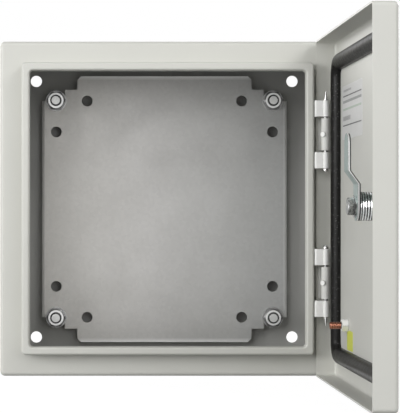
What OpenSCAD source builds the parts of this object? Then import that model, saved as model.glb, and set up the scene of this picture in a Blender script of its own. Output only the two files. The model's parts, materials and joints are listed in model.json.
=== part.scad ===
// Steel wall enclosure with an overlapping hinged door, a mounting plate and a cam lock.
// Origin: centre of the wall-fixing pattern on the back face. +Y points into the wall,
// +X to the hinge side, +Z up. The door stands open at open_angle.

/* [Cabinet] */
// Width of the cabinet and of the door
cabinet_w = 300; // [280:5:400]
// Height of the cabinet and of the door
cabinet_h = 300; // [280:5:500]
// Depth from the wall to the face of the closed door
cabinet_d = 170; // [140:5:250]
// Thickness of the sheet steel
sheet_t = 1.5; // [1.2:0.1:2]
// Inside radius of the bends along the outer edges
bend_r = 2; // [1.5:0.5:3]
// Flat left between the bends at each corner
corner_flat = 0.5; // [0.3:0.1:1]

/* [Rim] */
// Width of the flat rain channel around the lip
channel_w = 20; // [18:0.5:24]
// Width of the front of the folded lip
lip_w = 7; // [6.5:0.5:9]
// Depth of the lip's inner return, measured from the lip's front
lip_return_d = 12; // [8:0.5:16]
// Inside radius of the lip's bends
lip_bend_r = 0.5; // [0.5:0.1:1.2]
// Flat left between the lip's bends at each corner
lip_corner_flat = 1.5; // [1:0.5:3]
// Corner radius of the opening inside the lip
lip_opening_r = 3; // [2:0.5:6]

/* [Wall fixing] */
// Distance of the wall-fixing holes from the cabinet's sides
fixing_inset = 25; // [22:1:30]
// Diameter of the wall-fixing holes
fixing_hole_d = 11; // [8:0.5:12]

/* [Mounting plate] */
// Gap between the plate and the cabinet's outer side
plate_side_gap = 31; // [28:1:36]
// Gap between the plate and the cabinet's outer top and bottom
plate_end_gap = 21; // [18:1:28]
// Thickness of the plate
plate_t = 2; // [1.5:0.5:3]
// Depth of the edges folded back along the plate's sides
plate_fold_d = 8; // [6:0.5:9]
// Inside radius of the plate's folds
plate_fold_r = 1; // [0.5:0.5:1.5]
// Distance of the plate's studs from the cabinet's sides, top and bottom
stud_inset = 45; // [42:1:50]
// Diameter of the plate's studs
stud_d = 10; // [6:1:10]
// Length of stud that stands out of its nut
stud_end = 2.5; // [1:0.5:5]
// Height of the spacers that hold the plate off the back
spacer_h = 10; // [8:0.5:16]
// Outer diameter of the spacers
spacer_d = 16; // [14:1:18]
// Outer diameter of the plate's washers
washer_d = 20; // [17:0.5:22]
// Thickness of the plate's washers
washer_t = 2; // [1:0.2:2.5]
// Width across the flats of the plate's nuts
nut_af = 16; // [15.5:0.5:17]
// Height of the plate's nuts
nut_h = 8; // [6:0.5:9]
// Diameter of the plate's fixing holes
plate_hole_d = 10.5; // [6:0.5:12]
// Distance between the two fixing holes along each edge of the plate
plate_hole_pitch = 150; // [100:5:160]
// Reach of the shallow corner notch past the stud
notch_reach = 20.5; // [17:0.5:24]
// Depth of the shallow corner notch
notch_depth = 13; // [10:0.5:16]
// Reach of the deep corner notch past the stud
ear_reach = 8.5; // [6:0.5:9]
// Chamfer where the shallow notch meets the plate's end
notch_chamfer = 3.5; // [2:0.5:5]

/* [Gland plate] */
// Width of the cable opening in the bottom
gland_open_w = 180; // [120:5:190]
// Depth of the cable opening in the bottom
gland_open_d = 60; // [50:5:75]
// Distance from the wall to the middle of the cable opening
gland_from_back = 75; // [65:1:80]
// Lap of the gland plate over the sheet around the opening
gland_lap = 12; // [12:1:16]
// Thickness of the gland plate's seal
gland_seal_t = 2; // [1:0.5:3]
// Thickness of the gland plate
gland_plate_t = 1.5; // [1.2:0.1:3]
// Diameter of the gland plate's studs
gland_stud_d = 5; // [4:1:6]
// Length of the gland plate's studs
gland_stud_l = 12; // [11:0.5:16]
// Width across the flats of the gland plate's nuts
gland_nut_af = 8; // [8:0.5:10]
// Height of the gland plate's nuts
gland_nut_h = 4; // [3:0.5:5]

/* [Door] */
// Depth of the door from its face to the edge of its flanges
door_d = 19.5; // [17:0.5:24]
// Gap between the rain channel and the closed door's flanges
door_gap = 5; // [4.5:0.5:7]
// Opening angle at rest
open_angle = 91.7; // [0:0.1:104.7]

/* [Door seal] */
// Distance of the seal from the edge of the door
seal_inset = 14; // [12:0.5:15]
// Width of the seal
seal_w = 14; // [12:0.5:15]
// Height of the seal
seal_h = 8; // [6:0.2:9]
// Height of the seal's straight sides, below its crown
seal_side_h = 3; // [1.5:0.5:4]
// Outer corner radius of the seal
seal_corner_r = 20; // [17:1:24]
// Gap left between the seal and the lip
seal_clear = 0.5; // [0.3:0.1:1]

/* [Hinges] */
// Distance of the hinge axis from the cabinet's side
hinge_from_side = 9.5; // [9:0.1:9.6]
// Distance of the hinge axis behind the face of the closed door
hinge_from_face = 12; // [11:0.2:12]
// Distance of each hinge's middle from the top or bottom
hinge_inset = 84; // [60:1:100]
// Length of a hinge
hinge_l = 60.5; // [55:0.5:80]
// Length of each ear on the cabinet
ear_l = 14.5; // [12:0.5:18]
// Diameter of the ears around the pin
ear_d = 6.6; // [6:0.2:7]
// Diameter of the door knuckle around the pin
knuckle_d = 8; // [7:0.5:8]
// Diameter of the hinge pins
pin_d = 4; // [3.5:0.5:5]
// Thickness of the ears and of the door leaf
leaf_t = 2; // [1.5:0.5:2.5]
// Inside radius of their bends
leaf_bend_r = 0.5; // [0.4:0.1:0.8]
// Reach of the ears' flat faces in front of the hinge axis
ear_front = 2; // [1:0.2:2]
// Reach of the ears behind the hinge axis
ear_back = 4; // [2:0.5:4]
// Reach of the door leaf behind the hinge axis
door_leaf_back = 6; // [4:0.5:6]
// Radial clearance of the pin in the ears
pin_clear = 0.05; // [0.02:0.01:0.1]
// Gap between the ears and the door knuckle
knuckle_gap = 1.5; // [0.3:0.1:2]
// Length of the pin's tapered end
pin_taper_l = 7; // [4:0.5:10]
// Reach of the pin past the ear before its tapered end
pin_past_ear = 1; // [0.5:0.5:3]
// Gap between the pin's head and the ear
pin_head_gap = 0.4; // [0.3:0.1:1]
// Diameter of the pin's head
pin_head_d = 5.5; // [5.2:0.1:7]
// Height of the pin's head
pin_head_h = 2.5; // [1.5:0.5:4]

/* [Lock] */
// Distance of the lock from the free edge of the door
lock_inset = 65; // [64:1:75]
// Height of the lock above the middle of the door
lock_rise = 1; // [-40:1:40]
// Diameter of the lock's barrel
barrel_d = 22; // [20:0.5:24]
// Reach of the barrel behind the door's sheet
barrel_reach = 17.5; // [14:0.5:19]
// Diameter of the lock's outer collar
collar_d = 30; // [28:0.5:34]
// Thickness of the lock's outer collar
collar_t = 2.2; // [1.6:0.2:4]
// Thickness of the seal under the collar
lock_seal_t = 1; // [0.8:0.2:2]
// Width across the flats of the lock's nut
lock_nut_af = 27; // [26:0.5:30]
// Height of the lock's nut
lock_nut_h = 6; // [4:0.5:8]
// Diameter of the turning core
core_d = 14; // [13:0.5:15]
// Diameter of the core's front flange
core_flange_d = 17; // [16:0.5:18]
// Thickness of the core's front flange
core_flange_t = 2; // [1.5:0.5:3]
// Diameter of the key socket in the core
socket_d = 10; // [9:0.5:11]
// Depth of the key socket
socket_depth = 9; // [6:0.5:10]
// Width across the double bit in the socket
bit_w = 7; // [6:0.5:8]
// Thickness of the double bit
bit_t = 3; // [2:0.5:4]
// Side of the core's square end
square_s = 8; // [7:0.5:9]
// Clearance between the turning core and the barrel, and in the cam's square
core_clear = 0.05; // [0.03:0.01:0.1]
// Gap between the cam and the end of the barrel
cam_gap = 0.3; // [0.3:0.1:0.6]

/* [Cam] */
// Reach of the cam from the lock's axis
cam_reach = 55.5; // [50:0.5:58]
// Width of the cam at the lock
cam_w = 22; // [20:1:24]
// Width of the cam's nose
cam_nose_w = 19; // [16:1:22]
// Thickness of the cam
cam_t = 2.2; // [2:0.2:4]
// Step of the cam away from the door
cam_step = 7.2; // [7:0.2:10]
// Distance from the lock's axis to the start of the step
step_from = 17; // [14:1:18]
// Distance from the lock's axis to the end of the step
step_to = 27; // [22:1:32]
// Diameter of the cam's washer
cam_washer_d = 17; // [15.5:0.5:20]
// Thickness of the cam's washer
cam_washer_t = 1.5; // [1:0.1:2.5]
// Width across the flats of the cam's screw
cam_screw_af = 13; // [10:0.5:13]
// Height of the cam screw's head
cam_screw_h = 5; // [3:0.5:6]
// Diameter of the cam's screw
cam_screw_d = 6; // [4:0.5:6]
// Length of the cam's screw under its head
cam_screw_l = 12; // [10:1:12]

/* [Earth stud] */
// Distance of the door's earth stud from the hinge-side edge
earth_from_side = 70; // [50:1:80]
// Distance of the door's earth stud from the bottom edge
earth_from_bottom = 50; // [45:1:70]
// Diameter of the earth stud
earth_stud_d = 6; // [5:1:8]
// Length of the earth stud
earth_stud_l = 16; // [14:0.5:20]
// Width across the flats of the earth nut
earth_nut_af = 10; // [10:0.5:13]
// Height of the earth nut
earth_nut_h = 6; // [3:0.5:8]

/* [Hidden] */
// Facets round a full circle
$fn = 16;

// Heights are counted forward from the wall while the parts are drawn facing up
half_w = cabinet_w / 2;
half_h = cabinet_h / 2;
edge_r = bend_r + sheet_t;
corner_r = edge_r + corner_flat;
door_edge_z = cabinet_d - door_d;
channel_z = door_edge_z - door_gap;
door_back_z = cabinet_d - sheet_t;

lip_outer_w = cabinet_w - 2 * channel_w;
lip_outer_h = cabinet_h - 2 * channel_w;
lip_inner_w = lip_outer_w - 2 * lip_w;
lip_inner_h = lip_outer_h - 2 * lip_w;
lip_edge_r = lip_bend_r + sheet_t;
lip_corner_r = lip_edge_r + lip_corner_flat;
lip_z = door_back_z - seal_h - seal_clear;

hinge_x = half_w - hinge_from_side;
hinge_z = cabinet_d - hinge_from_face;
knuckle_r = knuckle_d / 2;
door_knuckle_l = hinge_l - 2 * (ear_l + knuckle_gap);
set_screw_d = 3;
set_screw_head_d = 5;
set_screw_head_h = 1;
set_screw_turn = 45;
fit_gap = 0.05;
stud_chamfer = 0.08;
hex_face = 0.95;
nut_countersink = 0.4;

plate_w = cabinet_w - 2 * plate_side_gap;
plate_h = cabinet_h - 2 * plate_end_gap;
plate_back_z = sheet_t + spacer_h;
plate_front_z = plate_back_z + plate_t;
stud_x = half_w - stud_inset;
stud_y = half_h - stud_inset;
stud_slot_d = stud_d + 1;
slack = 1;

gland_y = -half_h + sheet_t;
gland_plate_w = gland_open_w + 2 * gland_lap;
gland_plate_d = gland_open_d + 2 * gland_lap;
gland_corner_r = 6;
gland_stud_x = (gland_open_w + gland_lap) / 2;
gland_stud_z = (gland_open_d + gland_lap) / 2;
gland_hole_d = gland_stud_d + 0.6;

lock_x = -half_w + lock_inset;
lock_collar_z = cabinet_d + lock_seal_t;
lock_front_z = lock_collar_z + collar_t;
barrel_end_z = door_back_z - barrel_reach;
cam_z = barrel_end_z - cam_gap;
cam_nose_r = cam_nose_w / 2;

earth_x = half_w - earth_from_side;
earth_y = -half_h + earth_from_bottom;

// Stands the model up: drawn x, y and forward become X, Z and -Y
module upright() {
    rotate([90, 0, 0]) children();
}

// Turns a door piece, drawn closed, about the hinge axis
module on_door() {
    upright()
        translate([hinge_x, 0, hinge_z])
            rotate([0, open_angle, 0])
                translate([-hinge_x, 0, -hinge_z])
                    children();
}

module rounded_rect(w, h, r) {
    square([w - 2 * r, h], center = true);
    square([w, h - 2 * r], center = true);
    for (x = [-1, 1], y = [-1, 1])
        translate([x * (w / 2 - r), y * (h / 2 - r)]) circle(r);
}

module rounded_slab(w, h, r, z, t) {
    translate([0, 0, z]) linear_extrude(t) rounded_rect(w, h, r);
}

// Quarter ring of bent sheet around the origin, in the quadrant given by sx and sy
module bend(r, t, sx, sy) {
    s = r + t;
    intersection() {
        difference() {
            circle(s);
            circle(r);
        }
        translate([sx > 0 ? 0 : -s, sy > 0 ? 0 : -s]) square(s);
    }
}

// Sweeps a profile around a rounded rectangle. Profile x counts outward from
// the outline, profile y counts forward.
module around(w, h, r) {
    for (i = [0:3]) {
        across = i % 2 == 0 ? w : h;
        along = i % 2 == 0 ? h : w;
        rotate([0, 0, 90 * i]) {
            translate([across / 2, along / 2 - r, 0])
                rotate([90, 0, 0])
                    linear_extrude(along - 2 * r) children();
            translate([across / 2 - r, along / 2 - r, 0])
                rotate_extrude(angle = 90) translate([r, 0]) children();
        }
    }
}

// Extrudes a profile drawn in x and forward along the drawn y axis
module along_y(y, length) {
    translate([0, y + length, 0])
        rotate([90, 0, 0]) linear_extrude(length) children();
}

module disc(x, y, z, d, h) {
    translate([x, y, z]) cylinder(d = d, h = h);
}

module ring(x, y, z, outer_d, inner_d, h) {
    translate([x, y, z])
        linear_extrude(h)
            difference() {
                circle(d = outer_d);
                circle(d = inner_d);
            }
}

// Round bar with a chamfered end
module stud(d, length) {
    rotate_extrude()
        polygon([
            [0, 0],
            [d / 2, 0],
            [d / 2, length - stud_chamfer * d],
            [d / 2 - stud_chamfer * d, length],
            [0, length]
        ]);
}

// Hexagon whose corners are turned down around its upper face
module hex_body(af, h) {
    corner_r = af / cos(30) / 2;
    outer_r = corner_r + slack;
    face_r = hex_face * af / 2;
    intersection() {
        cylinder(r = corner_r, h = h, $fn = 6);
        rotate_extrude()
            polygon([
                [0, 0],
                [outer_r, 0],
                [outer_r, h - (outer_r - face_r) * tan(30)],
                [face_r, h],
                [0, h]
            ]);
    }
}

module hex_nut(af, bore_d, h) {
    difference() {
        hex_body(af, h);
        translate([0, 0, -slack]) cylinder(d = bore_d, h = h + 2 * slack);
        translate([0, 0, h - nut_countersink])
            cylinder(d1 = bore_d, d2 = bore_d + 2 * nut_countersink, h = nut_countersink);
    }
}

module at_plate_studs() {
    for (x = [-1, 1], y = [-1, 1])
        translate([x * stud_x, y * stud_y, 0]) children();
}

// Places children on the inside of the bottom, with their z axis pointing up
module on_bottom(y) {
    translate([0, y, gland_from_back]) rotate([-90, 0, 0]) children();
}

module at_gland_studs() {
    for (x = [-1, 0, 1], z = [-1, 1])
        translate([x * gland_stud_x, z * gland_stud_z, 0]) children();
}

// Cabinet

module wall_profile() {
    translate([-edge_r, edge_r]) bend(bend_r, sheet_t, 1, -1);
    translate([-sheet_t, edge_r]) square([sheet_t, channel_z - 2 * edge_r]);
    translate([-edge_r, channel_z - edge_r]) bend(bend_r, sheet_t, 1, 1);
}

module lip_outer_profile() {
    translate([lip_bend_r, channel_z + lip_bend_r]) bend(lip_bend_r, sheet_t, -1, -1);
    translate([-sheet_t, channel_z + lip_bend_r])
        square([sheet_t, lip_z - lip_edge_r - channel_z - lip_bend_r]);
    translate([-lip_edge_r, lip_z - lip_edge_r]) bend(lip_bend_r, sheet_t, 1, 1);
}

module lip_inner_profile() {
    translate([lip_edge_r, lip_z - lip_edge_r]) bend(lip_bend_r, sheet_t, -1, 1);
    translate([0, lip_z - lip_return_d]) square([sheet_t, lip_return_d - lip_edge_r]);
}

module cabinet_sheet() {
    rounded_slab(cabinet_w - 2 * edge_r, cabinet_h - 2 * edge_r, corner_flat, 0, sheet_t);
    around(cabinet_w, cabinet_h, corner_r) wall_profile();
    translate([0, 0, channel_z - sheet_t])
        linear_extrude(sheet_t)
            difference() {
                rounded_rect(cabinet_w - 2 * edge_r, cabinet_h - 2 * edge_r, corner_flat);
                rounded_rect(lip_outer_w + 2 * lip_bend_r, lip_outer_h + 2 * lip_bend_r,
                             lip_corner_r + lip_bend_r);
            }
    around(lip_outer_w, lip_outer_h, lip_corner_r) lip_outer_profile();
    translate([0, 0, lip_z - sheet_t])
        linear_extrude(sheet_t)
            difference() {
                rounded_rect(lip_outer_w - 2 * lip_edge_r, lip_outer_h - 2 * lip_edge_r,
                             lip_corner_flat);
                rounded_rect(lip_inner_w + 2 * lip_edge_r, lip_inner_h + 2 * lip_edge_r,
                             lip_opening_r + lip_edge_r);
            }
    around(lip_inner_w, lip_inner_h, lip_opening_r) lip_inner_profile();
}

module cabinet_shell() {
    color([0.84, 0.83, 0.80])
        upright()
            difference() {
                cabinet_sheet();
                for (x = [-1, 1], y = [-1, 1])
                    disc(x * (half_w - fixing_inset), y * (half_h - fixing_inset), -slack,
                         fixing_hole_d, sheet_t + 2 * slack);
                on_bottom(gland_y - sheet_t - slack)
                    rounded_slab(gland_open_w, gland_open_d, gland_corner_r, 0,
                                 sheet_t + 2 * slack);
            }
}

// Mounting plate and its fixings

// Outline of the plate between its folds, cut back at each corner in two steps
module plate_outline() {
    fold_x = plate_w / 2 - plate_fold_r - plate_t;
    notch_x = stud_x - notch_reach;
    ear_x = stud_x - ear_reach;
    end_y = plate_h / 2;
    notch_y = end_y - notch_depth;
    difference() {
        square([2 * fold_x, plate_h], center = true);
        for (x = [0, 1], y = [0, 1])
            mirror([x, 0]) mirror([0, y])
                polygon([
                    [notch_x - notch_chamfer, end_y + slack],
                    [notch_x - notch_chamfer, end_y],
                    [notch_x, end_y - notch_chamfer],
                    [notch_x, notch_y],
                    [ear_x, notch_y],
                    [ear_x, stud_y],
                    [half_w, stud_y],
                    [half_w, end_y + slack]
                ]);
    }
}

module plate_fold_profile() {
    fold_r = plate_fold_r + plate_t;
    translate([-fold_r, plate_front_z - fold_r]) bend(plate_fold_r, plate_t, 1, 1);
    translate([-plate_t, plate_front_z - plate_fold_d])
        square([plate_t, plate_fold_d - fold_r]);
}

module mounting_plate() {
    color([0.66, 0.65, 0.62])
        upright()
            difference() {
                union() {
                    translate([0, 0, plate_back_z]) linear_extrude(plate_t) plate_outline();
                    for (i = [0, 1])
                        mirror([i, 0, 0])
                            translate([plate_w / 2, 0, 0])
                                along_y(-stud_y, 2 * stud_y) plate_fold_profile();
                }
                translate([0, 0, plate_back_z - slack]) {
                    at_plate_studs() cylinder(d = stud_slot_d, h = plate_t + 2 * slack);
                    for (x = [-1, 1], y = [-1, 1]) {
                        disc(x * plate_hole_pitch / 2, y * stud_y, 0,
                             plate_hole_d, plate_t + 2 * slack);
                        disc(x * stud_x, y * plate_hole_pitch / 2, 0,
                             plate_hole_d, plate_t + 2 * slack);
                    }
                }
            }
}

module plate_studs() {
    length = spacer_h + plate_t + washer_t + nut_h + stud_end;
    color([0.80, 0.80, 0.78])
        upright() at_plate_studs() translate([0, 0, sheet_t]) stud(stud_d, length);
}

module plate_spacers() {
    color([0.75, 0.75, 0.73])
        upright()
            at_plate_studs() ring(0, 0, sheet_t, spacer_d, stud_d + 2 * fit_gap, spacer_h);
}

module plate_washers() {
    color([0.88, 0.88, 0.86])
        upright()
            at_plate_studs()
                ring(0, 0, plate_front_z, washer_d, stud_d + 2 * fit_gap, washer_t);
}

module plate_nuts() {
    color([0.82, 0.82, 0.80])
        upright()
            at_plate_studs()
                translate([0, 0, plate_front_z + washer_t])
                    hex_nut(nut_af, stud_d + 2 * fit_gap, nut_h);
}

// Gland plate, drawn on the inside of the bottom

module gland_seal() {
    color([0.12, 0.12, 0.12])
        upright()
            on_bottom(gland_y)
                linear_extrude(gland_seal_t)
                    difference() {
                        rounded_rect(gland_plate_w, gland_plate_d, gland_corner_r);
                        rounded_rect(gland_open_w, gland_open_d, gland_corner_r);
                        at_gland_studs() circle(d = gland_hole_d);
                    }
}

module gland_plate() {
    color([0.84, 0.83, 0.80])
        upright()
            on_bottom(gland_y + gland_seal_t)
                linear_extrude(gland_plate_t)
                    difference() {
                        rounded_rect(gland_plate_w, gland_plate_d, gland_corner_r);
                        at_gland_studs() circle(d = gland_hole_d);
                    }
}

module gland_studs() {
    color([0.80, 0.80, 0.78])
        upright()
            on_bottom(gland_y) at_gland_studs() stud(gland_stud_d, gland_stud_l);
}

module gland_nuts() {
    color([0.82, 0.82, 0.80])
        upright()
            on_bottom(gland_y + gland_seal_t + gland_plate_t)
                at_gland_studs()
                    hex_nut(gland_nut_af, gland_stud_d + 2 * fit_gap, gland_nut_h);
}

// Hinges, drawn about the hinge axis: profile x to the hinge side, profile y forward

module at_hinge(side) {
    translate([hinge_x, side * (half_h - hinge_inset), hinge_z])
        mirror([0, side > 0 ? 0 : 1, 0]) children();
}

module ear_leg() {
    lip_x = hinge_from_side - channel_w;
    translate([lip_x, -ear_back])
        square([leaf_t, ear_back + ear_front - leaf_t - leaf_bend_r]);
}

module ear_profile() {
    lip_x = hinge_from_side - channel_w;
    bend_x = lip_x + leaf_t + leaf_bend_r;
    difference() {
        union() {
            ear_leg();
            translate([bend_x, ear_front - leaf_t - leaf_bend_r])
                bend(leaf_bend_r, leaf_t, -1, 1);
            translate([bend_x, ear_front - leaf_t]) square([-bend_x, leaf_t]);
            circle(d = ear_d);
        }
        circle(d = pin_d + 2 * pin_clear);
    }
}

module hinge_ears(side) {
    color([0.90, 0.90, 0.88])
        upright()
            at_hinge(side) {
                along_y(-hinge_l / 2, ear_l) ear_profile();
                along_y(hinge_l / 2 - ear_l, ear_l) ear_profile();
            }
}

module door_leaf_plate() {
    flange_x = hinge_from_side - sheet_t;
    translate([flange_x - leaf_t, -door_leaf_back])
        square([leaf_t, door_leaf_back + knuckle_r - leaf_t - leaf_bend_r]);
}

module door_leaf_knuckle() {
    bend_x = hinge_from_side - sheet_t - leaf_t - leaf_bend_r;
    difference() {
        union() {
            door_leaf_plate();
            translate([bend_x, knuckle_r - leaf_t - leaf_bend_r])
                bend(leaf_bend_r, leaf_t, 1, 1);
            translate([0, knuckle_r - leaf_t]) square([bend_x, leaf_t]);
            circle(knuckle_r);
        }
        circle(d = pin_d);
    }
}

// Turns the set screw's axis to leave the closed door's knuckle to the rear, on the lip's side
module at_set_screw() {
    rotate([0, 180 + set_screw_turn, 0]) children();
}

module hinge_leaf(side) {
    color([0.78, 0.78, 0.76])
        on_door()
            at_hinge(side)
                difference() {
                    along_y(-door_knuckle_l / 2, door_knuckle_l) door_leaf_knuckle();
                    at_set_screw() cylinder(d = set_screw_d, h = knuckle_r + slack);
                }
}

module hinge_pin(side) {
    shaft_l = pin_head_gap + hinge_l + pin_past_ear;
    color([0.85, 0.85, 0.83])
        on_door()
            at_hinge(side)
                translate([0, -hinge_l / 2 - pin_head_gap, 0])
                    rotate([-90, 0, 0])
                        rotate_extrude()
                            polygon([
                                [0, -pin_head_h],
                                [pin_d / 2, -pin_head_h],
                                [pin_head_d / 2, -pin_head_h / 2],
                                [pin_head_d / 2, 0],
                                [pin_d / 2, 0],
                                [pin_d / 2, shaft_l],
                                [pin_d / 8, shaft_l + pin_taper_l],
                                [0, shaft_l + pin_taper_l]
                            ]);
}

module hinge_set_screws() {
    head_z = knuckle_r;
    color([0.95, 0.95, 0.93])
        on_door()
            for (side = [-1, 1])
                at_hinge(side)
                    at_set_screw() {
                        translate([0, 0, pin_d / 2 + fit_gap])
                            cylinder(d = set_screw_d - 2 * fit_gap,
                                     h = head_z - pin_d / 2 - fit_gap);
                        translate([0, 0, head_z])
                            cylinder(d = set_screw_head_d, h = set_screw_head_h);
                    }
}

// Door

module door_profile() {
    translate([-sheet_t, door_edge_z]) square([sheet_t, door_d - edge_r]);
    translate([-edge_r, cabinet_d - edge_r]) bend(bend_r, sheet_t, 1, 1);
}

module door_panel() {
    color([0.84, 0.83, 0.80])
        on_door()
            difference() {
                union() {
                    rounded_slab(cabinet_w - 2 * edge_r, cabinet_h - 2 * edge_r, corner_flat,
                                 door_back_z, sheet_t);
                    around(cabinet_w, cabinet_h, corner_r) door_profile();
                }
                disc(lock_x, lock_rise, door_back_z - slack,
                     barrel_d + 2 * core_clear, sheet_t + 2 * slack);
            }
}

// Section of the seal: straight sides under a crown that is an arc
module seal_profile() {
    crown_h = seal_h - seal_side_h;
    crown_r = (seal_w * seal_w / 4 + crown_h * crown_h) / (2 * crown_h);
    translate([-seal_w, door_back_z - seal_side_h]) square([seal_w, seal_side_h]);
    intersection() {
        translate([-seal_w / 2, door_back_z - seal_h + crown_r]) circle(crown_r);
        translate([-seal_w, door_back_z - seal_h]) square([seal_w, crown_h]);
    }
}

module door_seal() {
    color([0.10, 0.10, 0.10])
        on_door()
            around(cabinet_w - 2 * seal_inset, cabinet_h - 2 * seal_inset, seal_corner_r)
                seal_profile();
}

// Earth stud on the door

module on_door_back(x, y) {
    on_door() translate([x, y, door_back_z]) mirror([0, 0, 1]) children();
}

module earth_stud() {
    color([0.78, 0.50, 0.36])
        on_door_back(earth_x, earth_y) stud(earth_stud_d, earth_stud_l);
}

module earth_nut() {
    color([0.82, 0.82, 0.80])
        on_door_back(earth_x, earth_y)
            hex_nut(earth_nut_af, earth_stud_d + 2 * fit_gap, earth_nut_h);
}

// Lock, drawn along the lock's axis and counted forward from the wall

module at_lock() {
    on_door() translate([lock_x, lock_rise, 0]) children();
}

module lock_barrel() {
    color([0.62, 0.62, 0.61])
        at_lock()
            difference() {
                union() {
                    disc(0, 0, barrel_end_z, barrel_d, lock_front_z - barrel_end_z);
                    disc(0, 0, lock_collar_z, collar_d, collar_t);
                }
                disc(0, 0, barrel_end_z - slack, core_d + 2 * core_clear,
                     lock_front_z - barrel_end_z + 2 * slack);
                disc(0, 0, lock_front_z - core_flange_t, core_flange_d + 2 * core_clear,
                     core_flange_t + slack);
            }
}

module lock_collar_seal() {
    color([0.10, 0.10, 0.10])
        at_lock()
            ring(0, 0, cabinet_d, collar_d - 2, barrel_d + 2 * fit_gap, lock_seal_t);
}

module lock_nut() {
    color([0.72, 0.72, 0.70])
        on_door_back(lock_x, lock_rise)
            hex_nut(lock_nut_af, barrel_d + 2 * fit_gap, lock_nut_h);
}

module lock_core() {
    socket_z = lock_front_z - socket_depth;
    color([0.68, 0.68, 0.67])
        at_lock() {
            difference() {
                union() {
                    disc(0, 0, cam_z, core_d, lock_front_z - cam_z);
                    disc(0, 0, lock_front_z - core_flange_t, core_flange_d, core_flange_t);
                    translate([0, 0, cam_z - cam_t / 2])
                        cube([square_s, square_s, cam_t], center = true);
                }
                disc(0, 0, socket_z, socket_d, socket_depth + slack);
                disc(0, 0, cam_z - cam_t - slack, cam_screw_d, cam_screw_l + slack);
            }
            translate([0, 0, socket_z]) {
                linear_extrude(socket_depth - slack)
                    square([bit_w, bit_t], center = true);
                cylinder(d = bit_t + 1, h = socket_depth - slack);
            }
        }
}

// Outline of the cam from the front: a round boss with a tapered arm and a round nose
module cam_outline() {
    nose_y = cam_reach - cam_nose_r;
    circle(d = cam_w);
    translate([0, nose_y]) circle(cam_nose_r);
    polygon([
        [-cam_w / 2, 0], [cam_w / 2, 0],
        [cam_nose_r, nose_y], [-cam_nose_r, nose_y]
    ]);
}

// Side view of the cam: drawn x forward, y along the arm, stepped away from the door
module cam_side() {
    polygon([
        [cam_z, -cam_w], [cam_z, step_from],
        [cam_z - cam_step, step_to], [cam_z - cam_step, cam_reach + slack],
        [cam_z - cam_step - cam_t, cam_reach + slack], [cam_z - cam_step - cam_t, step_to],
        [cam_z - cam_t, step_from], [cam_z - cam_t, -cam_w]
    ]);
}

module lock_cam() {
    color([0.80, 0.82, 0.79])
        at_lock()
            difference() {
                intersection() {
                    translate([0, 0, cam_z - cam_step - cam_t - slack])
                        linear_extrude(cam_step + cam_t + 2 * slack) cam_outline();
                    translate([cam_w, 0, 0])
                        rotate([0, -90, 0]) linear_extrude(2 * cam_w) cam_side();
                }
                translate([0, 0, cam_z - cam_t / 2])
                    cube([square_s + 2 * core_clear, square_s + 2 * core_clear,
                          cam_t + 2 * slack], center = true);
            }
}

module cam_washer() {
    color([0.86, 0.86, 0.84])
        at_lock()
            ring(0, 0, cam_z - cam_t - cam_washer_t, cam_washer_d,
                 cam_screw_d + 2 * fit_gap, cam_washer_t);
}

module cam_screw() {
    seat_z = cam_z - cam_t - cam_washer_t;
    color([0.86, 0.86, 0.84])
        at_lock() {
            translate([0, 0, seat_z]) mirror([0, 0, 1]) hex_body(cam_screw_af, cam_screw_h);
            disc(0, 0, seat_z, cam_screw_d - 2 * fit_gap, cam_screw_l);
        }
}

cabinet_shell();
hinge_ears(1);  // hinge_ears_upper
hinge_ears(-1);  // hinge_ears_lower
mounting_plate();
plate_studs();
plate_spacers();
plate_washers();
plate_nuts();
gland_plate();
gland_seal();
gland_studs();
gland_nuts();
door_panel();
door_seal();
hinge_leaf(1);  // hinge_leaf_upper
hinge_leaf(-1);  // hinge_leaf_lower
hinge_pin(1);  // hinge_pin_upper
hinge_pin(-1);  // hinge_pin_lower
hinge_set_screws();
earth_stud();
earth_nut();
lock_barrel();
lock_collar_seal();
lock_nut();
lock_core();
lock_cam();
cam_washer();
cam_screw();
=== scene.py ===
"""Looks of the steel wall enclosure: materials, door label and sticker, camera and light."""

import json
import math

import bmesh
import bpy
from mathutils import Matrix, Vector


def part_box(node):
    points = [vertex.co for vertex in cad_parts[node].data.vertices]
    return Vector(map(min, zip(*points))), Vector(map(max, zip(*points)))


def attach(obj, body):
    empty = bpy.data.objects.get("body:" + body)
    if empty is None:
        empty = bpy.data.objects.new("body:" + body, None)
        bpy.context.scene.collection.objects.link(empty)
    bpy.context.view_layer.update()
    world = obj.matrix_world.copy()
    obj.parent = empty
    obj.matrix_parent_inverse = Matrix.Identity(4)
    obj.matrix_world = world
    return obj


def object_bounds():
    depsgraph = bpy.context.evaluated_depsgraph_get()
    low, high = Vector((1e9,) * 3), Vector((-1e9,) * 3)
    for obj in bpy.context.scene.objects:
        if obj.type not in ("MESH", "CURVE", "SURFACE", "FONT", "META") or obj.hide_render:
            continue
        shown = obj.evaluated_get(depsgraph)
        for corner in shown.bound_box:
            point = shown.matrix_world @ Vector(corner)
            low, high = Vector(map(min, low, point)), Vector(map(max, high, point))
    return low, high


MM = 0.001
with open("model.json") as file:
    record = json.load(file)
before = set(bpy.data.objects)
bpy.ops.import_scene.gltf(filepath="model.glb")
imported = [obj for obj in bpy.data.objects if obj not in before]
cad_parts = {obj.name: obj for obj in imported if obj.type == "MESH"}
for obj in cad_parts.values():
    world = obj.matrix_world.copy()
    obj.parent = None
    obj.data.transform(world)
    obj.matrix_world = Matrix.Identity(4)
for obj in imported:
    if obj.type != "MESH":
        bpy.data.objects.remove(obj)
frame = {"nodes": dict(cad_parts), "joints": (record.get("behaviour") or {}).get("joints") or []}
cad_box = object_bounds()
JOINTS = {joint["name"]: joint for joint in frame["joints"]}

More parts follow.
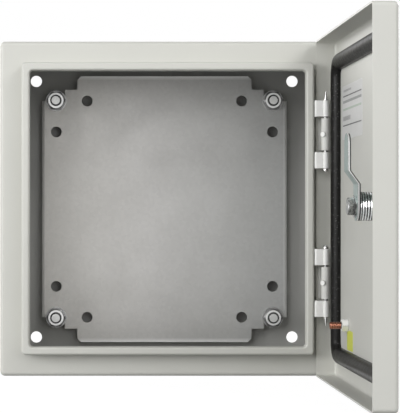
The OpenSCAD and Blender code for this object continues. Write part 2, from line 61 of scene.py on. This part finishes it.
# Directions at rest: out of the open door's face, up, and along the door from its hinge
UP = Vector((0, 0, 1))
DOOR_OUT = Vector(JOINTS["lock_turn"]["axis"]).normalized()
DOOR_ALONG = DOOR_OUT.cross(UP)
HINGE = Vector(JOINTS["door_hinge"]["pos_m"])
LOCK_Z = JOINTS["lock_turn"]["pos_m"][2]


# Camera

RIM_Y = -0.1455
CAMERA_DISTANCE = 1.5752
CAMERA_X, CAMERA_Z = -0.03569, -0.00527
SENSOR_W, LENS = 36, 153.23
CLIP_END = 30
IMAGE_W, IMAGE_H = 400, 413
PRINCIPAL_X, PRINCIPAL_Y = 127.66, 214.58

camera_data = bpy.data.cameras.new("camera")
camera = bpy.data.objects.new("camera", camera_data)
bpy.context.scene.collection.objects.link(camera)
camera.location = (CAMERA_X, RIM_Y - CAMERA_DISTANCE, CAMERA_Z)
camera.rotation_euler = (math.radians(90), 0, 0)
camera_data.sensor_width = SENSOR_W
camera_data.lens = LENS
camera_data.shift_x = (IMAGE_W / 2 - PRINCIPAL_X) / IMAGE_H
camera_data.shift_y = (PRINCIPAL_Y - IMAGE_H / 2) / IMAGE_H
camera_data.clip_end = CLIP_END
bpy.context.scene.camera = camera


# Node helpers

# Places of the colour sockets on a Mix node
MIX_FACTOR, MIX_FIRST, MIX_SECOND, MIX_RESULT = 0, 6, 7, 2


def new_material(name):
    """A material with its own empty node tree."""
    material = bpy.data.materials.new(name)
    material.use_nodes = True
    tree = material.node_tree
    tree.nodes.clear()
    return material, tree


def add(tree, kind, **settings):
    """Adds a node. Each setting names an attribute of the node, or else one of its sockets,
    with _ for a space."""
    node = tree.nodes.new(kind)
    for key, value in settings.items():
        if hasattr(node, key):
            setattr(node, key, value)
        else:
            node.inputs[key.replace("_", " ")].default_value = value
    return node


def join(tree, source, target):
    tree.links.new(source, target)


def fill(tree, node, values):
    """Fills the node's first sockets with values, each a plain value or an output to join."""
    for socket, value in zip(node.inputs, values):
        if isinstance(value, bpy.types.NodeSocket):
            join(tree, value, socket)
        else:
            socket.default_value = value


def math_node(tree, operation, *values):
    """The result of a Math node. Each value is a number or an output to join."""
    node = add(tree, "ShaderNodeMath", operation=operation)
    fill(tree, node, values)
    return node.outputs[0]


def vector_node(tree, operation, *values, output=0):
    """The result of a Vector Math node. Each value is a vector or an output to join."""
    node = add(tree, "ShaderNodeVectorMath", operation=operation)
    fill(tree, node, values)
    return node.outputs[output]


def length(tree, vector):
    return vector_node(tree, "LENGTH", vector, output="Value")


def along(tree, vector, direction):
    """How far an output reaches along a direction, which is a vector or an output."""
    if isinstance(direction, Vector):
        direction = tuple(direction)
    return vector_node(tree, "DOT_PRODUCT", vector, direction, output="Value")


def object_place(tree):
    return add(tree, "ShaderNodeTexCoord").outputs["Object"]


def object_axes(tree):
    """The outputs X, Y and Z of a point's place in the object's own frame."""
    node = add(tree, "ShaderNodeSeparateXYZ")
    join(tree, object_place(tree), node.inputs[0])
    return node.outputs


def map_range(tree, value, from_min, from_max, to_min=0.0, to_max=1.0):
    node = add(tree, "ShaderNodeMapRange", From_Min=from_min, From_Max=from_max,
               To_Min=to_min, To_Max=to_max)
    join(tree, value, node.inputs["Value"])
    return node.outputs[0]


def noise(tree, place, scale, detail=2.0, roughness=0.5):
    node = add(tree, "ShaderNodeTexNoise", Scale=scale, Detail=detail, Roughness=roughness)
    join(tree, place, node.inputs["Vector"])
    return node.outputs["Fac"]


def cells(tree, scale):
    """The outputs of a Voronoi texture, with scale cells per metre."""
    node = add(tree, "ShaderNodeTexVoronoi", Scale=scale)
    join(tree, object_place(tree), node.inputs["Vector"])
    return node.outputs


def ramp(tree, source, stops):
    """A colour ramp driven by source. Stops are (position, grey level or colour)."""
    node = add(tree, "ShaderNodeValToRGB")
    join(tree, source, node.inputs["Fac"])
    elements = node.color_ramp.elements
    while len(elements) < len(stops):
        elements.new(0.5)
    for element, (position, colour) in zip(elements, stops):
        element.position = position
        if isinstance(colour, (int, float)):
            colour = (colour, colour, colour)
        element.color = (*colour, 1)
    return node.outputs["Color"]


def blend_colour(tree, mode, factor, first, second):
    """Mixes two colours. Each of factor, first and second is a value or an output."""
    node = add(tree, "ShaderNodeMix", data_type="RGBA", blend_type=mode)
    for index, value in ((MIX_FACTOR, factor), (MIX_FIRST, first), (MIX_SECOND, second)):
        if isinstance(value, bpy.types.NodeSocket):
            join(tree, value, node.inputs[index])
        elif index == MIX_FACTOR:
            node.inputs[index].default_value = value
        else:
            node.inputs[index].default_value = (*value, 1)
    return node.outputs[MIX_RESULT]


def repaint(tree, shader, factor, colour, mode="MIX"):
    """Mixes colour into what feeds the shader's base colour, as far as factor says."""
    base = shader.inputs["Base Color"]
    join(tree, blend_colour(tree, mode, factor, base.links[0].from_socket, colour), base)


def tint(tree, shader, factor, colour):
    """Multiplies what feeds the shader's base colour by colour, as far as factor says."""
    repaint(tree, shader, factor, colour, "MULTIPLY")


# Where each painted darkening starts and ends: openness of a corner for the painted corner
# shade, how far a rounded normal agrees with the flat one for the painted edge shade, and height
# of the noise for the painted glints
CORNER_SAMPLES, CORNER_FROM, CORNER_TO = 8, 0.2, 0.75
EDGE_SAMPLES, EDGE_FROM, EDGE_TO = 6, 0.90, 0.98
GLINT_DETAIL, GLINT_FROM, GLINT_TO = 3.0, 0.42, 0.56


def paint_corner_shade(tree, shader, reach, darkest):
    """Paints shade into the shader's base colour in corners and gaps narrower than reach."""
    corners = add(tree, "ShaderNodeAmbientOcclusion", samples=CORNER_SAMPLES, Distance=reach)
    stops = [(CORNER_FROM, darkest), (CORNER_TO, 1.0)]
    tint(tree, shader, 1.0, ramp(tree, corners.outputs["AO"], stops))


def paint_edge_shade(tree, shader, width, darkest):
    """Paints shade into the shader's base colour in a line of that width along sharp edges."""
    rounded = add(tree, "ShaderNodeBevel", samples=EDGE_SAMPLES, Radius=width)
    flat = add(tree, "ShaderNodeNewGeometry").outputs["Normal"]
    same = along(tree, rounded.outputs["Normal"], flat)
    tint(tree, shader, 1.0, ramp(tree, same, [(EDGE_FROM, darkest), (EDGE_TO, 1.0)]))


def paint_glints(tree, shader, scale, darkest):
    """Paints glints into the shader's base colour: small dark and bright patches from noise,
    standing in for reflections.
    """
    facets = noise(tree, object_place(tree), scale, GLINT_DETAIL)
    tint(tree, shader, 1.0, ramp(tree, facets, [(GLINT_FROM, darkest), (GLINT_TO, 1.0)]))


def scaled(colour, factor):
    return tuple(min(1.0, channel * factor) for channel in colour)


# The soft patches' noise, and the part of its range over which a look varies
PATCH_DETAIL, PATCH_ROUGHNESS = 4.0, 0.6
PATCH_LOW, PATCH_HIGH = 0.3, 0.7


def surface(name, colour, spread=0.05, metallic=0.0, roughness=0.4, patch_scale=120,
            grain_scale=2600, grain_depth=0.00002, rough_spread=0.06, specular=0.5):
    """A surface whose colour and gloss vary in soft patches, with a fine grain in relief.

    spread is how far the colour strays to each side, patch_scale and grain_scale are counts
    per metre, and grain_depth is the height of the grain in metres."""
    material, tree = new_material(name)
    place = object_place(tree)
    patches = noise(tree, place, patch_scale, PATCH_DETAIL, PATCH_ROUGHNESS)
    shader = add(tree, "ShaderNodeBsdfPrincipled", Metallic=metallic,
                 Specular_IOR_Level=specular)
    for socket, low, high in (
            ("Base Color", scaled(colour, 1 - spread), scaled(colour, 1 + spread)),
            ("Roughness", roughness + rough_spread, roughness - rough_spread)):
        join(tree, ramp(tree, patches, [(PATCH_LOW, low), (PATCH_HIGH, high)]),
             shader.inputs[socket])
    bump = add(tree, "ShaderNodeBump", Strength=1.0, Distance=grain_depth)
    join(tree, noise(tree, place, grain_scale), bump.inputs["Height"])
    join(tree, bump.outputs["Normal"], shader.inputs["Normal"])
    output = add(tree, "ShaderNodeOutputMaterial")
    join(tree, shader.outputs["BSDF"], output.inputs["Surface"])
    return material, tree, shader


# Powder coat: fine orange peel on a light grey

POWDER = dict(colour=(0.655, 0.655, 0.612), spread=0.012, roughness=0.46, patch_scale=9,
              grain_scale=900, grain_depth=0.00006, rough_spread=0.04)
powder, _, _ = surface("powder_coat", **POWDER)

# Painted shade: the cabinet's coat is painted darker and greyer inside, where the box lies in
# shade.
# Inside is what lies within a rounded box, drawn half a sheet in from the shell's outer faces.
CABINET_HALF = (150 * MM, 72.75 * MM, 150 * MM)
CABINET_MIDDLE = (0, -CABINET_HALF[1], 0)
CABINET_R = 3.5 * MM
HALF_SHEET = 0.75 * MM
INSIDE_SHADE = (0.66, 0.66, 0.68)
cabinet_coat, tree, shader = surface("cabinet_coat", **POWDER)
from_middle = vector_node(tree, "SUBTRACT", object_place(tree), CABINET_MIDDLE)
past_core = vector_node(tree, "SUBTRACT", vector_node(tree, "ABSOLUTE", from_middle),
                        tuple(half - CABINET_R for half in CABINET_HALF))
out_of_core = length(tree, vector_node(tree, "MAXIMUM", past_core, (0, 0, 0)))
inside = math_node(tree, "LESS_THAN", out_of_core, CABINET_R - HALF_SHEET)
tint(tree, shader, inside, INSIDE_SHADE)


# Galvanised sheet: soft clouds with small spangles over them

SPANGLE_SCALE, SPANGLE_DARKEST = 330.0, 0.93
galvanised, tree, shader = surface("galvanised", (0.67, 0.66, 0.645), spread=0.025,
                                   metallic=0.45, roughness=0.42, patch_scale=28,
                                   grain_scale=1400)
spangle = cells(tree, SPANGLE_SCALE)["Color"]
tint(tree, shader, 1.0, ramp(tree, spangle, [(0.0, SPANGLE_DARKEST), (1.0, 1.0)]))

# Painted light: the plate's left side is painted warmer and lighter and its right side darker,
# as the light falls across it. Stops run left to right.
PLATE_LOW, PLATE_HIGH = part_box("mounting_plate")
PLATE_LIGHT_STOPS = ((0.0, (1.0, 0.99, 0.965)), (0.45, (0.92, 0.92, 0.92)), (1.0, (0.75, 0.77, 0.775)))
place = object_axes(tree)
light_across = map_range(tree, place["X"], PLATE_LOW.x, PLATE_HIGH.x)
tint(tree, shader, 1.0, ramp(tree, light_across, PLATE_LIGHT_STOPS))

# Painted highlight: a bright band is painted along the plate's outer edges, where they catch the
# light
HIGHLIGHT_WIDTH = 4 * MM
EDGE_HIGHLIGHT_COLOUR = (0.97, 0.97, 0.96)
past_side, past_end = (
    math_node(tree, "SUBTRACT", math_node(tree, "ABSOLUTE", place[axis]), reach)
    for axis, reach in (("X", PLATE_HIGH.x), ("Z", PLATE_HIGH.z)))
past_edge = math_node(tree, "MAXIMUM", past_side, past_end)
highlit_edge = add(tree, "ShaderNodeClamp")
join(tree, math_node(tree, "ADD", math_node(tree, "DIVIDE", past_edge, HIGHLIGHT_WIDTH), 1.0),
     highlit_edge.inputs["Value"])
repaint(tree, shader, highlit_edge.outputs[0], EDGE_HIGHLIGHT_COLOUR)


# Metal fittings

# How far the painted corner shade reaches
CORNER_SHADE_REACH = 2.5 * MM


def fitting(name, colour, darkest=0.15, edge_width=0, edge_darkest=1.0, **look):
    """A small metal fitting, with painted shade in its corners and, where edge_width is set,
    painted shade in a line along its edges."""
    material, tree, shader = surface(name, colour, **look)
    paint_corner_shade(tree, shader, CORNER_SHADE_REACH, darkest)
    if edge_width:
        paint_edge_shade(tree, shader, edge_width, edge_darkest)
    return material, tree, shader


def glint_painted_metal(name, colour, glint_scale, glint_darkest):
    """Bright plated metal with painted glints in small patches and painted shade along its edges
    and in its corners.
    """
    material, tree, shader = fitting(name, colour, metallic=1.0, roughness=0.18,
                                     grain_scale=700, grain_depth=0.00010, darkest=0.05)
    paint_glints(tree, shader, glint_scale, glint_darkest)
    paint_edge_shade(tree, shader, width=0.9 * MM, darkest=0.1)
    return material


zinc, _, _ = fitting("zinc_plated", (0.62, 0.62, 0.61), metallic=1.0, roughness=0.24)
washer_zinc, _, _ = fitting("washer_zinc", (0.36, 0.36, 0.355), metallic=1.0, roughness=0.22,
                            spread=0.12)
bright_zinc, _, _ = fitting("bright_zinc", (0.95, 0.95, 0.93), roughness=0.5, patch_scale=90,
                            spread=0.03, darkest=0.1, edge_width=0.6 * MM, edge_darkest=0.25)
knuckle_metal, _, _ = fitting("knuckle_metal", (0.74, 0.74, 0.71), roughness=0.6,
                              grain_depth=0.00004, darkest=0.1, edge_width=0.5 * MM,
                              edge_darkest=0.4)
# The lock's and the cam screw's metal carry painted glints and painted edge shade
lock_metal = glint_painted_metal("lock_metal", (0.74, 0.76, 0.76), glint_scale=300, glint_darkest=0.35)
screw_metal = glint_painted_metal("screw_metal", (0.88, 0.90, 0.90), glint_scale=260, glint_darkest=0.45)

# Blue zinc on the cam: dull pressed faces, and a painted highlight, near white, on the edge
# faces that don't face out of the door
CAM_EDGE_HIGHLIGHT = (1.0, 1.0, 1.0)
EDGE_FACE_BELOW = 0.6
blue_zinc, tree, shader = fitting("blue_zinc", (0.46, 0.55, 0.53), metallic=0.6,
                                  roughness=0.34, spread=0.10)
face_normal = add(tree, "ShaderNodeTexCoord").outputs["Normal"]
facing = math_node(tree, "ABSOLUTE", along(tree, face_normal, DOOR_OUT))
edge_face = math_node(tree, "LESS_THAN", facing, EDGE_FACE_BELOW)
repaint(tree, shader, edge_face, CAM_EDGE_HIGHLIGHT)
paint_edge_shade(tree, shader, width=0.7 * MM, darkest=0.12)

# Painted shade: a dark line is painted along the cam's edge faces on the door's side, and
# follows the cam's step
CAM_T = 2.2 * MM
STEP_FROM, STEP_TO = 17 * MM, 27 * MM
SHADED_SHARE = 0.42
CAM_EDGE_SHADE = (0.10, 0.10, 0.10)
cam_depths = [vertex.co.dot(DOOR_OUT) for vertex in frame["nodes"]["lock_cam"].data.vertices]
CAM_DOOR_SIDE, CAM_ROOM_SIDE = max(cam_depths), min(cam_depths)
CAM_STEP = CAM_DOOR_SIDE - CAM_ROOM_SIDE - CAM_T
near_face = map_range(tree, object_axes(tree)["Z"], LOCK_Z + STEP_FROM, LOCK_Z + STEP_TO,
                      CAM_DOOR_SIDE, CAM_DOOR_SIDE - CAM_STEP)
depth = math_node(tree, "SUBTRACT", near_face, along(tree, object_place(tree), DOOR_OUT))
on_door_side = math_node(tree, "LESS_THAN", depth, CAM_T * SHADED_SHARE)
tint(tree, shader, math_node(tree, "MULTIPLY", on_door_side, edge_face), CAM_EDGE_SHADE)


# Foam with painted highlights in small dots, where its open pores catch the light

PORE_SCALE, PORE_R = 380.0, 0.2
PORE_HIGHLIGHT = (0.07, 0.07, 0.068)
foam, tree, shader = surface("seal_foam", (0.011, 0.0105, 0.010), spread=0.35, roughness=0.34,
                             patch_scale=260, grain_scale=1900, grain_depth=0.00005,
                             specular=0.12)
pore_highlight = math_node(tree, "LESS_THAN", cells(tree, PORE_SCALE)["Distance"], PORE_R)
repaint(tree, shader, pore_highlight, PORE_HIGHLIGHT)


# Screw threads

# Height of the thread's relief as a share of its pitch, and where the painted shade in its root
# ends on a scale from root to crest
THREAD_RELIEF = 0.9
ROOT_SHADE_END = 0.35


def threaded(name, colour, pitch, axis, root_shade=0.45, **look):
    """Plated metal with the rings of a screw thread along an axis of the object's frame, and
    painted shade in the thread's root. The argument after the axis is how dark that painted
    shade is."""
    material, tree, shader = fitting(name, colour, metallic=1.0, patch_scale=160,
                                     grain_depth=0.00001, **look)
    grain = shader.inputs["Normal"].links[0].from_socket
    turns = math_node(tree, "MULTIPLY", along(tree, object_place(tree), axis), 1 / pitch)
    saw = math_node(tree, "PINGPONG", turns, 0.5)
    rings = add(tree, "ShaderNodeBump", Strength=1.0, Distance=pitch * THREAD_RELIEF)
    join(tree, saw, rings.inputs["Height"])
    join(tree, grain, rings.inputs["Normal"])
    join(tree, rings.outputs["Normal"], shader.inputs["Normal"])
    # Painted shade in the thread's root
    tint(tree, shader, 1.0, ramp(tree, saw, [(0.0, root_shade), (ROOT_SHADE_END, 1.0)]))
    return material, tree, shader


# The plate's studs and nuts: a clean stud end and nut face, with painted shade in the gap
# between them and a painted dark reflection on the turned corners. Stops are distances from the
# stud's middle, in millimetres.
PLATE_STUD = 105 * MM
RADIUS_SPAN = 12
RING_SHADE_STOPS = ((3.8, 1.0), (4.2, 0.06), (5.3, 0.06), (5.6, 1.0), (7.2, 1.0), (7.6, 0.16))


def paint_ring_shade(tree, shader):
    """Paints shade into the shader's base colour in rings round the four plate studs."""
    from_stud = vector_node(tree, "SUBTRACT",
                            vector_node(tree, "ABSOLUTE", object_place(tree)),
                            (PLATE_STUD, 0, PLATE_STUD))
    flat = vector_node(tree, "MULTIPLY", from_stud, (1, 0, 1))
    radius = math_node(tree, "DIVIDE", length(tree, flat), RADIUS_SPAN * MM)
    tint(tree, shader, 1.0, ramp(tree, radius, [(distance / RADIUS_SPAN, shade)
                                                for distance, shade in RING_SHADE_STOPS]))


PLATE_AXIS = Vector((0, 1, 0))
THREAD_ZINC = (0.80, 0.80, 0.79)
plate_nut_metal, tree, shader = fitting("plate_nut_metal", (0.97, 0.97, 0.96), metallic=1.0,
                                        roughness=0.3, spread=0.02)
paint_ring_shade(tree, shader)
plate_stud_metal, tree, shader = threaded("plate_stud_metal", THREAD_ZINC, 1.5 * MM,
                                          PLATE_AXIS, root_shade=0.75, roughness=0.3)
paint_ring_shade(tree, shader)
gland_stud_metal, _, _ = threaded("gland_stud_metal", THREAD_ZINC, 0.8 * MM, UP, roughness=0.3)
earth_stud_metal, _, _ = threaded("earth_stud_metal", (0.40, 0.17, 0.11), 1.75 * MM, DOOR_OUT,
                                  root_shade=0.08, spread=0.2, roughness=0.3)
barrel_metal, tree, shader = threaded("barrel_metal", (0.80, 0.82, 0.82), 2.0 * MM, DOOR_OUT,
                                      root_shade=0.06, roughness=0.18)
# Painted glints on the lock barrel
paint_glints(tree, shader, scale=200, darkest=0.8)

LOOKS = {
    "cabinet_shell": cabinet_coat, "door_panel": powder, "gland_plate": powder,
    "mounting_plate": galvanised,
    "plate_studs": plate_stud_metal, "gland_studs": gland_stud_metal,
    "plate_spacers": zinc, "plate_washers": washer_zinc, "plate_nuts": plate_nut_metal,
    "gland_nuts": zinc,
    "gland_seal": foam, "door_seal": foam, "lock_collar_seal": foam,
    "hinge_ears_upper": bright_zinc, "hinge_ears_lower": bright_zinc,
    "hinge_leaf_upper": knuckle_metal, "hinge_leaf_lower": knuckle_metal,
    "hinge_pin_upper": zinc, "hinge_pin_lower": zinc, "hinge_set_screws": bright_zinc,
    "earth_stud": earth_stud_metal, "earth_nut": bright_zinc,
    "lock_barrel": barrel_metal, "lock_nut": lock_metal, "lock_core": lock_metal,
    "lock_cam": blue_zinc, "cam_washer": screw_metal, "cam_screw": screw_metal,
}
for node_name, material in LOOKS.items():
    slots = frame["nodes"][node_name].data.materials
    slots.clear()
    slots.append(material)


# Printed pieces on the inner side of the door

DOOR_SHEET = 1.5 * MM
door_mesh = frame["nodes"]["door_panel"].data
DOOR_FACE = max(vertex.co.dot(DOOR_OUT) for vertex in door_mesh.vertices) - DOOR_SHEET

# Gap under a printed sheet, steps round each of its corners, and its soft edge as shares of
# its thickness: where the edge starts to turn in, and how far it does
GLUE_GAP = 0.02 * MM
CORNER_STEPS = 4
EDGE_RISE, EDGE_INSET = 0.6, 0.5


def on_door(from_hinge, up, proud):
    """A point on the door's inner face: its distances from the hinge axis, from the middle
    height, and out of the sheet."""
    start = HINGE - DOOR_OUT * HINGE.dot(DOOR_OUT)
    return start + DOOR_ALONG * from_hinge + UP * up + DOOR_OUT * (DOOR_FACE - proud)


def printed_sheet(name, near, far, low, high, corner, thick, material):
    """A thin sheet with round corners and a soft edge, stuck on the door's inner face."""
    outline = []
    for centre_out, centre_up, first in (
            (far - corner, high - corner, 0), (near + corner, high - corner, 90),
            (near + corner, low + corner, 180), (far - corner, low + corner, 270)):
        for step in range(CORNER_STEPS + 1):
            angle = math.radians(first + step * 90 / CORNER_STEPS)
            outline.append((centre_out + corner * math.cos(angle),
                            centre_up + corner * math.sin(angle)))
    middle_out, middle_up = (near + far) / 2, (low + high) / 2
    mesh = bmesh.new()
    rings = []
    for inset, proud in ((0, GLUE_GAP), (0, thick * EDGE_RISE), (thick * EDGE_INSET, thick)):
        rings.append([mesh.verts.new(on_door(out - math.copysign(inset, out - middle_out),
                                             up - math.copysign(inset, up - middle_up),
                                             proud))
                      for out, up in outline])
    for lower, upper in zip(rings, rings[1:]):
        for index in range(len(outline)):
            after = (index + 1) % len(outline)
            mesh.faces.new((lower[index], lower[after], upper[after], upper[index]))
    mesh.faces.new(rings[-1])
    mesh.faces.new(rings[0][::-1])
    bmesh.ops.recalc_face_normals(mesh, faces=mesh.faces)
    data = bpy.data.meshes.new(name)
    mesh.to_mesh(data)
    mesh.free()
    data.materials.append(material)
    piece = bpy.data.objects.new(name, data)
    bpy.context.scene.collection.objects.link(piece)
    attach(piece, "door")


LABEL = dict(near=28 * MM, far=136 * MM, low=59.5 * MM, high=106 * MM)
STICKER = dict(near=55 * MM, far=86 * MM, low=-121 * MM, high=-104 * MM)

# Rules printed across the label: height and half width in millimetres, and ink
RULES = ((96.8, 0.5, (0.12, 0.12, 0.13)), (92.0, 1.1, (0.45, 0.46, 0.46)),
         (85.4, 0.9, (0.66, 0.76, 0.66)), (71.5, 0.5, (0.14, 0.14, 0.15)))
RULE_MARGIN = 5 * MM

# Rows of plain dashes, in millimetres: height, half width, pitch, and where the row starts
# and ends from the hinge axis
DASH_ROWS = ((101.5, 0.9, 2.6, 36, 78), (77.6, 1.9, 4.4, 33, 74))
DASH_INK = (0.30, 0.30, 0.31)
DASH_SHARE = 0.55

label_film, tree, shader = surface("label_film", (0.76, 0.76, 0.75), spread=0.012,
                                   roughness=0.34, patch_scale=60, grain_scale=1500,
                                   grain_depth=0.00001)
label_z = object_axes(tree)["Z"]
from_hinge = math_node(tree, "SUBTRACT", along(tree, object_place(tree), DOOR_ALONG),
                       HINGE.dot(DOOR_ALONG))
across = math_node(tree, "COMPARE", from_hinge, (LABEL["near"] + LABEL["far"]) / 2,
                   (LABEL["far"] - LABEL["near"]) / 2 - RULE_MARGIN)
for up, half_width, ink in RULES:
    line = math_node(tree, "COMPARE", label_z, up * MM, half_width * MM)
    tint(tree, shader, math_node(tree, "MULTIPLY", line, across), ink)
for up, half_width, pitch, start, end in DASH_ROWS:
    row = math_node(tree, "COMPARE", label_z, up * MM, half_width * MM)
    span = math_node(tree, "COMPARE", from_hinge, (start + end) / 2 * MM,
                     (end - start) / 2 * MM)
    turns = math_node(tree, "FRACT", math_node(tree, "DIVIDE", from_hinge, pitch * MM))
    dash = math_node(tree, "LESS_THAN", turns, DASH_SHARE)
    in_row = math_node(tree, "MULTIPLY", row, span)
    tint(tree, shader, math_node(tree, "MULTIPLY", in_row, dash), DASH_INK)

sticker_film, _, _ = surface("sticker_film", (0.74, 0.78, 0.10), spread=0.04, roughness=0.36,
                             patch_scale=90, grain_scale=1500, grain_depth=0.00001)

printed_sheet("door_label", corner=3 * MM, thick=0.15 * MM, material=label_film, **LABEL)
printed_sheet("earth_sticker", corner=1.5 * MM, thick=0.12 * MM, material=sticker_film,
              **STICKER)


# Floor and backdrop

# Share of the seen floor that glows, its glow, and the greys of its two matte parts
GLOW_SHARE, GLOW = 0.86, 1.1
SEEN_GREY, BOUNCE_GREY = 0.9, 0.35
FLOOR_HALF = 4
FLOOR_Z = cad_box[0][2] - 0.5 * MM


def grey(level):
    return (level, level, level, 1)


def seen_rays(tree):
    """1 for camera, glossy and transmission rays, which see the white studio."""
    path = add(tree, "ShaderNodeLightPath")
    direct = math_node(tree, "MAXIMUM", path.outputs["Is Camera Ray"],
                       path.outputs["Is Glossy Ray"])
    return math_node(tree, "MAXIMUM", direct, path.outputs["Is Transmission Ray"])


def mix_shaders(tree, factor, first, second):
    """Mixes two shader nodes and gives the result. factor is a number or an output."""
    mix = add(tree, "ShaderNodeMixShader")
    fill(tree, mix, (factor, first.outputs[0], second.outputs[0]))
    return mix


floor_white, tree = new_material("floor_white")
matte_seen = add(tree, "ShaderNodeBsdfDiffuse", Color=grey(SEEN_GREY))
matte_bounce = add(tree, "ShaderNodeBsdfDiffuse", Color=grey(BOUNCE_GREY))
glow = add(tree, "ShaderNodeEmission", Color=grey(1), Strength=GLOW)
seen_floor = mix_shaders(tree, GLOW_SHARE, matte_seen, glow)
output = add(tree, "ShaderNodeOutputMaterial")
join(tree, mix_shaders(tree, seen_rays(tree), matte_bounce, seen_floor).outputs[0],
     output.inputs["Surface"])

floor_mesh = bpy.data.meshes.new("floor")
floor_mesh.from_pydata([(x * FLOOR_HALF, y * FLOOR_HALF, FLOOR_Z)
                        for x, y in ((-1, -1), (1, -1), (1, 1), (-1, 1))],
                       [], [(0, 1, 2, 3)])
floor_mesh.materials.append(floor_white)
floor = bpy.data.objects.new("floor", floor_mesh)
bpy.context.scene.collection.objects.link(floor)


# Light

AMBIENT, BACKDROP = 0.02, 1.0
world = bpy.data.worlds.new("studio")
bpy.context.scene.world = world
world.use_nodes = True
tree = world.node_tree
tree.nodes.clear()
ambient = add(tree, "ShaderNodeBackground", Color=grey(1), Strength=AMBIENT)
backdrop = add(tree, "ShaderNodeBackground", Color=grey(1), Strength=BACKDROP)
output = add(tree, "ShaderNodeOutputWorld")
join(tree, mix_shaders(tree, seen_rays(tree), ambient, backdrop).outputs[0],
     output.inputs["Surface"])

AIM = Vector((0, -0.1, 0))
LAMP_DISTANCE = 2.4
LAMP_SIZE = 1.0

# Soft boxes round the object: name, azimuth to the right of the front, elevation, watts
LAMPS = (("key", 45, 35, 19.0), ("side", -60, 10, 30.0), ("upper_left", -20, 35, 9.0),
         ("front_right", 22, 10, 8.5), ("front_left", -28, 10, 6.5),
         ("rear_left", -140, 22, 27.0), ("rear_right", 140, 22, 27.0))
for name, azimuth, elevation, watts in LAMPS:
    turn, rise = math.radians(azimuth), math.radians(elevation)
    towards = Vector((math.sin(turn) * math.cos(rise), -math.cos(turn) * math.cos(rise),
                      math.sin(rise)))
    data = bpy.data.lights.new(name, "AREA")
    data.shape = "SQUARE"
    data.size = LAMP_SIZE
    data.energy = watts
    lamp = bpy.data.objects.new(name, data)
    lamp.location = AIM + towards * LAMP_DISTANCE
    lamp.rotation_euler = (-towards).to_track_quat("-Z", "Y").to_euler()
    bpy.context.scene.collection.objects.link(lamp)

bpy.context.scene.view_settings.view_transform = "Standard"
